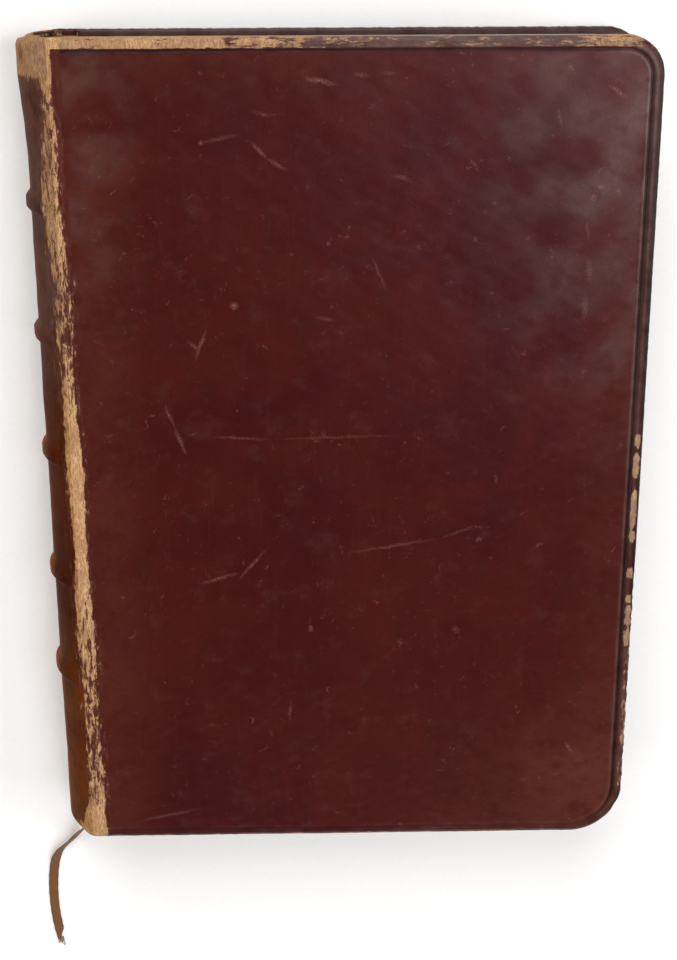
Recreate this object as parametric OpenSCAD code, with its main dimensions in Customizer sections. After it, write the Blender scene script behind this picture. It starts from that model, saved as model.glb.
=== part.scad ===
// Prayer book bound in full leather over boards: sewn sections, five raised cords,
// tight back, round corners and a ribbon marker. Lies on its back cover.
// +X towards the fore-edge, +Y towards the head, +Z up through the thickness.

/* [Covers] */
// Height of a cover, tail to head
cover_h = 250; // [120:1:360]
// Width of a cover, from the joint to the fore-edge
cover_w = 165.5; // [90:0.5:260]
// Radius of a cover's fore-edge corner at the head
head_corner_r = 11; // [6:0.5:30]
// Radius of a cover's fore-edge corner at the tail
tail_corner_r = 17; // [6:0.5:30]
// Thickness of a board
board_t = 3; // [1.5:0.1:6]
// Thickness of the covering leather
leather_t = 1; // [0.6:0.1:1.6]
// Width of the leather turned in over the inside of a board
turn_in_w = 14; // [8:0.5:25]
// Thickness of the turned-in leather, after paring
turn_in_t = 0.5; // [0.3:0.1:1]
// Thickness of the paper pasted down inside a cover
pastedown_t = 0.2; // [0.1:0.05:0.5]

/* [Spine] */
// Width of the flexible joint between spine and cover
joint_w = 4.5; // [3:0.1:9]
// How far the spine bulges past the joint
spine_round = 9.4; // [5:0.1:14]
// Thickness of the cloth and paper glued to the spine
lining_t = 0.5; // [0.3:0.1:1]
// Number of raised bands
band_count = 5; // [3:1:6]
// Distance between raised bands
band_pitch = 36.7; // [15:0.1:60]
// Distance from the head of the spine to the first band
first_band = 46.4; // [20:0.5:80]
// How far each band lies off even spacing, as it was sewn by eye
band_off = [0, -2, -1.8, -3.9, 0, 0]; // [-6:0.1:6]
// Diameter of one sewing cord; each band has two
cord_d = 1.9; // [1.6:0.1:3.5]
// Distance of the kettle stitches from the ends of the text block
kettle_inset = 11; // [6:0.5:18]
// Diameter of the endband core, wound with silk
endband_d = 1.2; // [0.8:0.1:1.6]
// Thickness of the leather cap over each endband
cap_t = 0.6; // [0.4:0.1:1]

/* [Text block] */
// Number of sewn sections
section_count = 16; // [6:2:24]
// Thickness of one section
section_t = 1.5; // [0.8:0.1:3]
// Thickness of a single loose-turning leaf
leaf_t = 0.2; // [0.1:0.05:0.4]
// How far a cover stands past the text block at head and tail
square = 2; // [2:0.1:5]
// How far a cover stands past the text block at the fore-edge
fore_square = 3; // [1.5:0.1:6]
// Radius of the text block's fore-edge corners
block_corner_r = 13; // [4:0.5:28]
// Depth of the hollow along the fore-edge
fore_hollow = 5; // [2:0.1:8]
// Thickness of the linen sewing thread
thread_t = 0.45; // [0.3:0.05:0.7]

/* [Ribbon] */
// Width of the ribbon marker
ribbon_w = 3.2; // [2:0.1:8]
// Thickness of the ribbon marker
ribbon_t = 0.4; // [0.3:0.05:0.6]

/* [Hidden] */
$fn = 96;

leather_color = "#4a1a18";
worn_color = "#b88c5c";
paper_color = "#d8cbb0";
cord_color = "#b9a37c";

// Fore-edge corners at head and tail: of a cover, its board, the opening its turn-ins leave, a leaf
corners = [head_corner_r, tail_corner_r];
board_corners = [for (r = corners) r - leather_t];
turn_in_corners = corners / 3;
leaf_corners = [block_corner_r, block_corner_r];
// Gap between pieces that move past each other
move_gap = 0.3;
// Gap around a piece that lies in a channel or a groove
lie_gap = 0.05;
cord_r = cord_d / 2;
// Two cords of a band lie side by side
cord_apart = cord_r + lie_gap;
band_proud = cord_d - lining_t;

// Width and place along X, with the origin midway between the band tops and the fore-edge
full_w = band_proud + spine_round + joint_w + cover_w;
fore_x = full_w / 2;
cover_x = fore_x - cover_w;
joint_x = cover_x - joint_w;
block_fore_x = fore_x - fore_square;
leaf_x = cover_x + move_gap;
block_h = cover_h - 2 * square;

// Heights, from the table up
inner_face = leather_t + board_t + turn_in_t + pastedown_t;
back_leaf_z = inner_face + move_gap;
block_z = back_leaf_z + leaf_t + move_gap;
block_t = section_count * section_t;
title_leaf_z = block_z + block_t + move_gap;
front_leaf_z = title_leaf_z + leaf_t + move_gap;
full_t = front_leaf_z + leaf_t + move_gap + inner_face;

// The rounded spine is an arc about an axis along Y
spine_r = (pow(spine_round, 2) + pow(full_t / 2, 2)) / (2 * spine_round);
spine_cx = joint_x - spine_round + spine_r;
spine_cz = full_t / 2;
lining_r = spine_r - leather_t;
block_r = lining_r - lining_t;
shoulder_z = leather_t + move_gap;
shoulder_x = cover_x - move_gap;
// The caps reach a little further in than the endbands they cover
cap_reach = 0.4;
cap_r = block_r - endband_d - cap_reach;

// The hollow fore-edge is an arc too
hollow_r = (pow(fore_hollow, 2) + pow(block_t / 2, 2)) / (2 * fore_hollow);
hollow_cx = block_fore_x - fore_hollow + hollow_r;
hollow_cz = block_z + block_t / 2;
// Spare paper that the ploughed fore-edge and the rounded spine cut away
trim = 0.3;

first_band_y = cover_h / 2 - first_band;
kettle_y = block_h / 2 - kettle_inset;
// Depth of a stitch inside the fold of its section, and how much a kettle stitch is pulled thin
stitch_x = 1.1;
thread_ease = 0.01;
// Height at which the cords turn in to the boards, and how far a cord's slip runs onto its board
cord_end_z = 4;
slip_l = 13;
slip_t = 0.6;
slip_w = 2 * (cord_apart + cord_r);
beyond = 400;

// The ribbon lies between two sections, beside the fold
ribbon_section = section_count / 2;
ribbon_x = spine_cx - cap_r + ribbon_w / 2 + 2 * lie_gap;
ribbon_z = block_z + ribbon_section * section_t + ribbon_t / 2 + lie_gap;
// How far the free end falls to lie on the table
ribbon_drop = ribbon_z - ribbon_t / 2 - 3 * lie_gap;
// Steps of the free end from the tail of the text block, in X, Y and the share of the fall
ribbon_steps = [
    [0, 0, 0], [0, -3, 0.006], [-0.2, -6, 0.063], [-0.7, -9, 0.19], [-1.5, -12, 0.374],
    [-2.6, -15, 0.58], [-4.1, -18, 0.776], [-6, -21, 0.908], [-8.2, -23.6, 0.971],
    [-10.4, -25.6, 0.994], [-12.6, -28, 1], [-14.2, -31.4, 1], [-15.1, -35.5, 1],
    [-15.7, -41, 1], [-15.9, -47.5, 1], [-15.6, -54, 1], [-14.9, -59.5, 1],
    [-13.9, -64.5, 1]
];
ribbon_points = [
    for (s = ribbon_steps)
        [ribbon_x + s[0], s[1] - block_h / 2, ribbon_z - s[2] * ribbon_drop]
];

function band_y(i) = first_band_y - i * band_pitch + band_off[i];
function section_z(i) = block_z + i * section_t;
// X of the fore-edge hollow and of the spine arc at height z
function hollow_x(z) = hollow_cx - sqrt(pow(hollow_r, 2) - pow(z - hollow_cz, 2));
function spine_x(z) = spine_cx - sqrt(pow(block_r, 2) - pow(z - spine_cz, 2));

// A flat sheet, square at the spine and with round fore-edge corners, r = [head, tail]
module sheet(x0, x1, h, r, z, t) {
    translate([0, 0, z]) linear_extrude(t) {
        translate([x0, 0]) square([x1 - x0 - r[0], h / 2]);
        translate([x0, -h / 2]) square([x1 - x0 - r[1], h / 2 + 1]);
        translate([x0, r[1] - h / 2]) square([x1 - x0, h - r[0] - r[1]]);
        translate([x1 - r[0], h / 2 - r[0]]) circle(r[0]);
        translate([x1 - r[1], r[1] - h / 2]) circle(r[1]);
    }
}

// Turns a profile of radius and Y about the axis of the spine arc
module around_spine() {
    translate([spine_cx, 0, spine_cz]) rotate([-90, 0, 0]) rotate_extrude() children();
}

// Keeps what is left of x_max and at least margin inside the book's thickness
module spine_side(x_max, margin) {
    intersection() {
        children();
        translate([x_max - beyond, -beyond, margin])
            cube([beyond, 2 * beyond, full_t - 2 * margin]);
    }
}

// Mirrors the back cover's pieces to the front
module to_front() {
    translate([0, 0, full_t]) mirror([0, 0, 1]) children();
}

// ---- Covers, drawn as the back cover, outside face down on the table ----

module slips(gap) {
    for (i = [0 : band_count - 1])
        translate([cover_x, band_y(i) - slip_w / 2 - gap, leather_t])
            cube([slip_l + gap, slip_w + 2 * gap, slip_t + gap]);
}

module board() {
    color("#8d7a5c") difference() {
        sheet(cover_x, fore_x - leather_t, cover_h - 2 * leather_t,
            board_corners, leather_t, board_t);
        translate([-lie_gap, 0, -lie_gap]) slips(lie_gap);
    }
}

module cord_slips() {
    color(cord_color) slips(0);
}

module cover_leather() {
    color(leather_color) difference() {
        sheet(cover_x, fore_x, cover_h, corners, 0, leather_t + board_t + turn_in_t);
        sheet(cover_x - 1, fore_x - leather_t, cover_h - 2 * leather_t,
            board_corners, leather_t, board_t);
        sheet(cover_x - 1, fore_x - turn_in_w, cover_h - 2 * turn_in_w,
            turn_in_corners, leather_t + board_t / 2, board_t + turn_in_t);
    }
}

module pastedown() {
    overlap = turn_in_w - fore_square - 1;
    color(paper_color) {
        sheet(cover_x, fore_x - turn_in_w, cover_h - 2 * turn_in_w,
            turn_in_corners, leather_t + board_t, turn_in_t + pastedown_t);
        sheet(cover_x, fore_x - turn_in_w + overlap, cover_h - 2 * (turn_in_w - overlap),
            leaf_corners, leather_t + board_t + turn_in_t, pastedown_t);
    }
}

module leaf(z) {
    color(paper_color)
        sheet(leaf_x, block_fore_x, block_h, leaf_corners, z, leaf_t);
}

// ---- Spine ----

module band_rounds(y, r) {
    for (s = [-1, 1]) translate([block_r + cord_r, y + s * cord_apart]) circle(r);
}

module spine_leather() {
    color("#5a2a1c") spine_side(joint_x, 0) around_spine() difference() {
        union() {
            translate([lining_r, -cover_h / 2]) square([leather_t, cover_h]);
            for (i = [0 : band_count - 1]) {
                band_rounds(band_y(i), cord_r + leather_t);
                translate([lining_r, band_y(i) - cord_apart])
                    square([band_proud + leather_t, 2 * cord_apart]);
            }
            for (s = [-1, 1])
                translate([cap_r, s * (cover_h - cap_t) / 2 - cap_t / 2])
                    square([lining_r + leather_t / 2 - cap_r, cap_t]);
        }
        translate([0, cap_t - cover_h / 2]) square([lining_r, cover_h - 2 * cap_t]);
        for (i = [0 : band_count - 1]) {
            band_rounds(band_y(i), cord_r + lie_gap);
            translate([lining_r - 1, band_y(i) - cord_apart])
                square([1 + cord_d - lining_t - cord_r, 2 * cord_apart]);
        }
    }
}

module joint_leather() {
    color(worn_color) translate([joint_x, -cover_h / 2, 0])
        cube([joint_w - move_gap / 2, cover_h, leather_t]);
}

module spine_lining() {
    color("#cdbf9d") spine_side(joint_x, shoulder_z) around_spine() difference() {
        translate([block_r, -block_h / 2]) square([lining_t, block_h]);
        for (i = [0 : band_count - 1])
            translate([0, band_y(i) - slip_w / 2 - lie_gap])
                square([beyond, slip_w + 2 * lie_gap]);
        for (s = [-1, 1])
            translate([0, s * kettle_y - thread_t]) square([beyond, 2 * thread_t]);
    }
}

module raised_cord(i) {
    if (i < band_count)
        color(cord_color) spine_side(joint_x, cord_end_z) around_spine()
            band_rounds(band_y(i), cord_r);
}

// One long stitch in the fold of each section, and the kettle stitches that link them
module sewing_thread() {
    color("#e6dcc2") {
        for (i = [0 : section_count - 1]) {
            z = section_z(i) + section_t / 2;
            translate([spine_x(z) + stitch_x, -kettle_y, z - thread_t / 2])
                cube([thread_t, 2 * kettle_y, thread_t]);
        }
        for (s = [-1, 1])
            spine_side(joint_x, block_z) around_spine()
                translate([block_r + lining_t / 2, s * kettle_y])
                    circle(min(lining_t, thread_t) / 2 - thread_ease);
    }
}

module endband(side) {
    color("#a88a4e") spine_side(joint_x, block_z + section_t / 2) around_spine()
        translate([block_r - endband_d / 2 - lie_gap,
                side * (block_h / 2 + endband_d / 2 + lie_gap)])
            circle(endband_d / 2);
}

// ---- Text block ----

// The outer sections are bent over at the spine, as shoulders for the boards to sit against
module shoulder(z0, z1) {
    translate([spine_cx - block_r, -block_h / 2, z0])
        cube([shoulder_x - spine_cx + block_r, block_h, z1 - z0]);
}

module section(i) {
    z = section_z(i);
    mid = z + section_t / 2;
    edge_x = max(hollow_x(z), hollow_x(z + section_t)) + trim;
    if (i < section_count)
        color(paper_color) difference() {
            intersection() {
                union() {
                    sheet(spine_cx - block_r - trim, edge_x, block_h, leaf_corners,
                        z, section_t);
                    if (i == 0) shoulder(shoulder_z, z + section_t / 2);
                    if (i == section_count - 1)
                        shoulder(z + section_t / 2, full_t - shoulder_z);
                }
                union() {
                    translate([spine_cx, beyond / 2, spine_cz]) rotate([90, 0, 0])
                        cylinder(r = block_r, h = beyond);
                    translate([spine_cx, -beyond / 2, 0]) cube([beyond, beyond, full_t]);
                }
            }
            translate([hollow_cx, beyond / 2, hollow_cz]) rotate([90, 0, 0])
                cylinder(r = hollow_r, h = beyond);
            // The fold is open along the spine, where the thread goes in and out
            translate([spine_x(mid) + stitch_x + thread_t + lie_gap - beyond,
                    -kettle_y - lie_gap, mid - thread_t / 2 - lie_gap])
                cube([beyond, 2 * kettle_y + 2 * lie_gap, thread_t + 2 * lie_gap]);
            if (i == ribbon_section)
                translate([ribbon_x - ribbon_w / 2 - lie_gap, -beyond / 2, z - 1])
                    cube([ribbon_w + 2 * lie_gap, beyond, 1 + ribbon_t + 2 * lie_gap]);
        }
}

// ---- Ribbon marker ----

module ribbon_in_block() {
    color("#8a6a34")
        translate([ribbon_x - ribbon_w / 2, -block_h / 2, ribbon_z - ribbon_t / 2])
            cube([ribbon_w, block_h, ribbon_t]);
}

function unit(v) = v / norm(v);
function along(p, i) = unit(p[min(i + 1, len(p) - 1)] - p[max(i - 1, 0)]);
// The ribbon stays level across its width
function across(p, i) = unit(cross(along(p, i), [0, 0, 1]));
ribbon_shape = [
    for (c = [
        [1, 0.5], [0.9, 1], [-0.9, 1], [-1, 0.5], [-1, -0.5], [-0.9, -1], [0.9, -1], [1, -0.5]
    ])
        [c[0] * ribbon_w / 2, c[1] * ribbon_t / 2]
];

module ribbon_marker() {
    p = ribbon_points;
    sides = len(ribbon_shape);
    rings = len(p);
    points = [
        for (i = [0 : rings - 1]) let (w = across(p, i), t = cross(w, along(p, i)))
            for (c = ribbon_shape) p[i] + c[0] * w + c[1] * t
    ];
    walls = [
        for (i = [0 : rings - 2]) for (j = [0 : sides - 1])
            let (k = (j + 1) % sides, a = i * sides, b = a + sides)
                each [[a + j, b + j, b + k], [a + j, b + k, a + k]]
    ];
    ends = [
        [for (j = [0 : sides - 1]) j],
        [for (j = [0 : sides - 1]) rings * sides - 1 - j]
    ];
    color("#8a6a34") polyhedron(points, concat(walls, ends));
}

to_front() board();  // front_board
to_front() cover_leather();  // front_cover_leather
to_front() pastedown();  // front_pastedown
to_front() cord_slips();  // front_cord_slips
board();  // back_board
cover_leather();  // back_cover_leather
pastedown();  // back_pastedown
cord_slips();  // back_cord_slips
leaf(front_leaf_z);  // front_flyleaf
leaf(title_leaf_z);  // title_leaf
leaf(back_leaf_z);  // back_flyleaf
spine_leather();
to_front() joint_leather();  // front_joint_leather
joint_leather();  // back_joint_leather
spine_lining();
raised_cord(0);  // raised_cord_1
raised_cord(1);  // raised_cord_2
raised_cord(2);  // raised_cord_3
raised_cord(3);  // raised_cord_4
raised_cord(4);  // raised_cord_5
sewing_thread();
endband(1);  // head_endband
endband(-1);  // tail_endband
section(0);  // section_01
section(1);  // section_02
section(2);  // section_03
section(3);  // section_04
section(4);  // section_05
section(5);  // section_06
section(6);  // section_07
section(7);  // section_08
section(8);  // section_09
section(9);  // section_10
section(10);  // section_11
section(11);  // section_12
section(12);  // section_13
section(13);  // section_14
section(14);  // section_15
section(15);  // section_16
ribbon_in_block();
ribbon_marker();
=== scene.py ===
import math

import bpy
import numpy as np
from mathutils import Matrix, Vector


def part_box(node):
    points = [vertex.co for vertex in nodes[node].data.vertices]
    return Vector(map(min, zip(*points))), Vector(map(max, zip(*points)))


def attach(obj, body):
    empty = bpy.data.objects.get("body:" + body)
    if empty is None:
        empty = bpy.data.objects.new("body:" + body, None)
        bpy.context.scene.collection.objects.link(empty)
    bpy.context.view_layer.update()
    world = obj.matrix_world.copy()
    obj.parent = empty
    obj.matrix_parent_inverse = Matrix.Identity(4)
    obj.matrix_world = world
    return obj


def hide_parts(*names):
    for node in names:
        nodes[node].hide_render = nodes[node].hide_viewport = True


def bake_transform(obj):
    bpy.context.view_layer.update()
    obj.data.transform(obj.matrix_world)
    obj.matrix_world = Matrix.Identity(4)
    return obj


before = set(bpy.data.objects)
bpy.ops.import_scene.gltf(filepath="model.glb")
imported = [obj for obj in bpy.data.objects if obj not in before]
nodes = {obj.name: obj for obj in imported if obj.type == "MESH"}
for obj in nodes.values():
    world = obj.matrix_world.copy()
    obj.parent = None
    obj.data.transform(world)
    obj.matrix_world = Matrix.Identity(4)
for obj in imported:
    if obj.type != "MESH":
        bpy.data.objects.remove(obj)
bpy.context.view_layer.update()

# ---- View ----
# The book lies on a pale paper sweep, its front cover up and its head towards the far side.
# Soft light comes from high on the head side; a small high window light gives the head
# corner of the fore-edge its grey sheen. The camera looks down, leaning towards the tail.

scene = bpy.context.scene
scene.view_settings.view_transform = "Standard"


def linear(colour):
    """The linear colour of an sRGB hex value such as #4a1a18."""
    parts = [int(colour[i:i + 2], 16) / 255 for i in (1, 3, 5)]
    return [p / 12.92 if p <= 0.04045 else ((p + 0.055) / 1.055) ** 2.4 for p in parts] + [1.0]


# Settings that each node of a kind has, unless its call says otherwise
usual = {"MapRange": {"interpolation_type": "SMOOTHSTEP"}, "Mix": {"data_type": "RGBA"}}


def add(tree, kind, *links, out=0, **inputs):
    """Adds a shader node and gives one of its outputs. Values fill its inputs in order, or by keyword: an
    input's name, or a setting in small letters. A value may be another node's output."""
    made = tree.nodes.new("ShaderNode" + kind)
    inputs = {**usual.get(kind, {}), **inputs}
    for name in [name for name in inputs if name.islower()]:
        setattr(made, name, inputs.pop(name))
    shown = [socket for socket in made.inputs if socket.enabled]
    pairs = list(zip(shown, links)) + [(made.inputs[name.replace("_", " ")], inputs[name]) for name in inputs]
    for socket, value in pairs:
        if isinstance(value, bpy.types.NodeSocket):
            tree.links.new(value, socket)
        else:
            socket.default_value = value
    return made.outputs[out] if isinstance(out, str) else [o for o in made.outputs if o.enabled][out]


def new_material(name):
    """An empty node material; its tree and its surface socket."""
    made = bpy.data.materials.new(name)
    made.use_nodes = True
    made.node_tree.nodes.clear()
    output = made.node_tree.nodes.new("ShaderNodeOutputMaterial")
    return made, made.node_tree, output.inputs["Surface"]


def every(mm):
    """The texture scale, per metre, that repeats a pattern every so many millimetres."""
    return 1000 / mm


# Matt white background paper: even, with no gloss and the faintest tooth
sweep_paper, tree, surface = new_material("background_paper_matt")
place = add(tree, "TexCoord", out="Object")
tooth = add(tree, "TexNoise", place, Scale=every(1.5), Detail=3.0, Roughness=0.55)
colour = add(tree, "Mix", tooth, linear("#f7f6f4"), linear("#fdfcfa"))
bump = add(tree, "Bump", Height=tooth, Distance=0.00002, Strength=0.3)
shader = add(tree, "BsdfPrincipled", Base_Color=colour, Roughness=0.95, Specular_IOR_Level=0.2, Normal=bump)
tree.links.new(shader, surface)

floor_size = 6.0
mesh = bpy.data.meshes.new("floor")
half = floor_size / 2
mesh.from_pydata([(-half, -half, 0), (half, -half, 0), (half, half, 0), (-half, half, 0)], [], [(0, 1, 2, 3)])
floor = bpy.data.objects.new("floor", mesh)
scene.collection.objects.link(floor)
floor.data.materials.append(sweep_paper)

world = bpy.data.worlds.new("studio")
world.use_nodes = True
world.node_tree.nodes["Background"].inputs["Color"].default_value = linear("#f4f5f7")
world.node_tree.nodes["Background"].inputs["Strength"].default_value = 0.13
scene.world = world


def soft_light(name, place, aim, size, power, colour="#ffffff"):
    """A square soft light of so many watts, turned to a point."""
    data = bpy.data.lights.new(name, "AREA")
    data.shape = "SQUARE"
    data.size = size
    data.energy = power
    data.color = linear(colour)[:3]
    made = bpy.data.objects.new(name, data)
    scene.collection.objects.link(made)
    made.location = place
    made.rotation_euler = (Vector(aim) - Vector(place)).to_track_quat("-Z", "Y").to_euler()
    return made


soft_light("head_light", (-0.25, 1.35, 1.15), (0, 0, 0), 1.1, 22.0)
soft_light("fore_light", (1.35, 0.15, 0.95), (0, 0, 0), 1.0, 13.0)
soft_light("spine_light", (-1.35, -0.2, 0.95), (0, 0, 0), 1.0, 8.0, "#fff4e6")
soft_light("tail_light", (0.2, -1.7, 0.8), (0, 0, 0), 1.0, 11.0)
soft_light("window_sheen", (0.50, 0.16, 1.35), (0.05, 0.05, 0), 0.55, 5.4, "#eef3ff")

camera = bpy.data.objects.new("camera", bpy.data.cameras.new("camera"))
scene.collection.objects.link(camera)
camera.location = (-0.00841, 0.16066, 0.49481)
camera.rotation_mode = "ZYX"
camera.rotation_euler = (math.radians(-19.272), math.radians(-0.961), math.radians(-0.555))
camera.data.sensor_width = 36
camera.data.lens = 61.31
camera.data.shift_y = -0.0113
camera.data.clip_start = 0.01
scene.camera = camera

# ---- Text block ----
# Sixteen sewn sections of folded rag-paper sheets, rounded at the spine, hollow at the
# fore-edge and cut round at the corners. The outer two are bent over as shoulders.
# The head has gathered a century of dust and handling, so it is nearly black-brown.


def box_mm(node):
    """The lowest and highest corner of a CAD node, in millimetres."""
    low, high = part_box(node)
    return 1000 * np.array(low), 1000 * np.array(high)


def smooth(low, high, value):
    """0 below low, 1 above high and a smooth rise between."""
    t = np.clip((value - low) / (high - low), 0, 1)
    return t * t * (3 - 2 * t)


def hump(value, centre, half_width):
    """A rounded hump of height 1."""
    return np.exp(-((value - centre) / half_width) ** 2)


def grid_faces(count_x, count_y, first=0, flip=False):
    """The quads of a grid whose points run along Y first; they face +Z unless flipped."""
    i, j = np.meshgrid(np.arange(count_x - 1), np.arange(count_y - 1), indexing="ij")
    a = (first + i * count_y + j).ravel()
    quads = np.stack([a, a + count_y, a + count_y + 1, a + 1], axis=1)
    return quads[:, ::-1] if flip else quads


def grid_border(count_x, count_y, closed=True):
    """Point numbers round a grid's edge, from tail to head by the fore-edge; closed adds the spine side."""
    tail = [i * count_y for i in range(count_x)]
    fore = [(count_x - 1) * count_y + j for j in range(1, count_y)]
    head = [i * count_y + count_y - 1 for i in range(count_x - 2, -1, -1)]
    spine = [j for j in range(count_y - 2, 0, -1)] if closed else []
    return np.array(tail + fore + head + spine)


def strip_faces(rows, closed, flip=False):
    """The quads between rows of point numbers, one row after the other."""
    made = []
    for a, b in zip(rows[:-1], rows[1:]):
        if closed:
            a = np.append(a, a[0])
            b = np.append(b, b[0])
        made.append(np.stack([a[:-1], a[1:], b[1:], b[:-1]], axis=1))
    made = np.concatenate(made)
    return made[:, ::-1] if flip else made


def round_corners(x, y, x1, half_h, r):
    """Moves a grid's square corners at x1 onto round ones, and gives each point's place on the edge:
    the outward direction, how far in from the edge it is, and 0 at the fore-edge to 1 at head or tail."""
    a = (x - (x1 - r)) / r
    b = (np.abs(y) - (half_h - r)) / r
    corner = (a > 0) & (b > 0)
    m = np.where(corner, np.maximum(a, b), 1.0)
    with np.errstate(divide="ignore", invalid="ignore"):
        phi = np.where(a >= b, math.pi / 4 * b / a, math.pi / 2 - math.pi / 4 * a / b)
    phi = np.where(corner, phi, 0.0)
    side = np.where(y < 0, -1.0, 1.0)
    new_x = np.where(corner, x1 - r + r * m * np.cos(phi), x)
    new_y = np.where(corner, side * (half_h - r + r * m * np.sin(phi)), y)
    to_fore = x1 - x
    to_end = half_h - np.abs(y)
    fore = to_fore < to_end
    out_x = np.where(corner, np.cos(phi), np.where(fore, 1.0, 0.0))
    out_y = np.where(corner, side * np.sin(phi), np.where(fore, 0.0, side))
    inward = np.where(corner, r * (1 - m), np.minimum(to_fore, to_end))
    turn = np.where(corner, phi / (math.pi / 2), np.where(fore, 0.0, 1.0))
    return new_x, new_y, out_x, out_y, inward, turn


def make_piece(name, points, faces, materials, sharp=None, **fields):
    """A new mesh piece from points in millimetres, with each point's rest place and fields stored on it."""
    points = np.asarray(points, float) / 1000
    mesh = bpy.data.meshes.new(name)
    mesh.from_pydata(points.tolist(), [], faces.tolist() if hasattr(faces, "tolist") else faces)
    mesh.polygons.foreach_set("use_smooth", [True] * len(mesh.polygons))
    if sharp is not None:
        mesh.set_sharp_from_angle(angle=math.radians(sharp))
    rest = mesh.attributes.new("rest", "FLOAT_VECTOR", "POINT")
    rest.data.foreach_set("vector", points.astype(np.float32).ravel())
    for field, values in fields.items():
        mesh.attributes.new(field, "FLOAT", "POINT").data.foreach_set("value", np.asarray(values, np.float32))
    piece = bpy.data.objects.new(name, mesh)
    scene.collection.objects.link(piece)
    for material in materials:
        mesh.materials.append(material)
    return piece


front_lo, front_hi = box_mm("front_cover_leather")
cover_x, fore_x = front_lo[0], front_hi[0]
cover_h, full_t = front_hi[1] - front_lo[1], front_hi[2]
joint_x = box_mm("front_joint_leather")[0][0]
cover_depth = front_hi[2] - front_lo[2]
leather_t = 1.0
lining_t = 0.5
band_proud = 1.4
spine_bulge = joint_x - box_mm("spine_leather")[0][0] - band_proud
spine_r = (spine_bulge ** 2 + (full_t / 2) ** 2) / (2 * spine_bulge)
spine_cx = joint_x - spine_bulge + spine_r
spine_cz = full_t / 2
block_r = spine_r - leather_t - lining_t

inner_lo, inner_hi = box_mm("section_08")
block_h = inner_hi[1] - inner_lo[1]
block_z = box_mm("section_02")[0][2] - (inner_hi[2] - inner_lo[2])
section_t = inner_hi[2] - inner_lo[2]
section_count = 16
block_fore_x = box_mm("front_flyleaf")[1][0]
block_corner_r = 13.0
fore_hollow = 5.0
hollow_r = (fore_hollow ** 2 + (section_count * section_t / 2) ** 2) / (2 * fore_hollow)
hollow_cx = block_fore_x - fore_hollow + hollow_r
hollow_cz = block_z + section_count * section_t / 2
shoulder_x = cover_x - 0.3
shoulder_z = 1.3
leaves_per_section = 8


def paper(name, page, toned, edge, at_rest=True):
    """Handmade rag paper: soft cream, fibrous and quite matt, toned from its edges and lightly foxed."""
    made, tree, surface = new_material(name)
    if at_rest:
        place = add(tree, "Attribute", attribute_name="rest", out="Vector")
        dust = add(tree, "Attribute", attribute_name="dust", out="Fac")
    else:
        place = add(tree, "TexCoord", out="Object")
        dust = 0.0
    # Clouds of toning 30 mm across, fibres 0.6 mm long and fox spots 2 mm across
    cloud = add(tree, "TexNoise", place, Scale=every(30), Detail=4, Roughness=0.6)
    fibre = add(tree, "TexNoise", place, Scale=every(0.6), Detail=4, Roughness=0.7, Distortion=0.6)
    foxing = add(tree, "TexNoise", place, Scale=every(2.4), Detail=2, Roughness=0.5)
    toning = add(tree, "MapRange", cloud, 0.3, 0.7, 0.0, 0.35)
    colour = add(tree, "Mix", toning, page, toned)
    fibrous = add(tree, "Math", fibre, 0.35, operation="MULTIPLY")
    colour = add(tree, "Mix", fibrous, colour, toned)
    spots = add(tree, "MapRange", foxing, 0.7, 0.8, 0.0, 0.3)
    colour = add(tree, "Mix", spots, colour, linear("#a4773f"))
    # Leaf edges show as lines 0.4 mm apart, coarser than the paper so that they can be seen
    flat = add(tree, "Mapping", place, Scale=(1 / 40, 1 / 40, 1.0))
    lines = add(tree, "TexNoise", flat, Scale=every(0.4), Detail=3, Roughness=0.6)
    lined = add(tree, "MapRange", lines, 0.35, 0.65)
    pale_edge = add(tree, "Mix", 0.5, edge, toned)
    dirty = add(tree, "Mix", lined, edge, pale_edge)
    smudges = add(tree, "TexNoise", place, Scale=every(9), Detail=4, Roughness=0.55)
    smudged = add(tree, "Math", smudges, 0.6, operation="MULTIPLY")
    dirty = add(tree, "Mix", smudged, dirty, linear("#2e231c"))
    colour = add(tree, "Mix", dust, colour, dirty)
    ridges = add(tree, "Math", lines, dust, operation="MULTIPLY")
    height = add(tree, "Math", fibre, ridges, operation="ADD")
    bump = add(tree, "Bump", Height=height, Distance=0.00005, Strength=0.5)
    shader = add(tree, "BsdfPrincipled", Base_Color=colour, Roughness=0.88, IOR=1.45, Specular_IOR_Level=0.3,
                 Normal=bump)
    tree.links.new(shader, surface)
    return made


page_paper = paper("rag_paper_aged_sized", linear("#d9cba9"), linear("#bfa77c"), linear("#5b4838"))

random = np.random.default_rng(1549)
corner_steps = np.linspace(0, block_corner_r - 0.3, 9)


def sheet_lines(x0, x1, half_h, r):
    """The grid lines of a sheet, close together along its edges and round its corners."""
    near = np.append(r - corner_steps, 0.0)
    xs = np.concatenate([[x0, x0 + 0.3], np.linspace(x0 + 1.5, x1 - r, 10)[:-1], x1 - near])
    ys = np.concatenate([near - half_h, np.linspace(r - half_h, half_h - r, 16)[1:-1], half_h - near])
    return xs, np.unique(np.round(ys, 6))


def sheet_level(x0, x1, half_h, r, inset, z, lines):
    """One level of a sheet: the points of its whole grid at height z, drawn in from the edge by inset."""
    gx, gy = np.meshgrid(lines[0], lines[1], indexing="ij")
    x, y, out_x, out_y, inward, turn = round_corners(gx, gy, lines[0][-1], lines[1][-1], r)
    near = np.clip(1 - inward / 6, 0, 1)
    share = (x - lines[0][0]) / (lines[0][-1] - lines[0][0])
    x = x0 + (x1 - x0) * share - inset * out_x * near
    y = y * half_h / lines[1][-1] - inset * out_y * near
    return np.stack([x, y, np.full_like(x, z)], axis=-1).reshape(-1, 3), inward.ravel()


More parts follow.
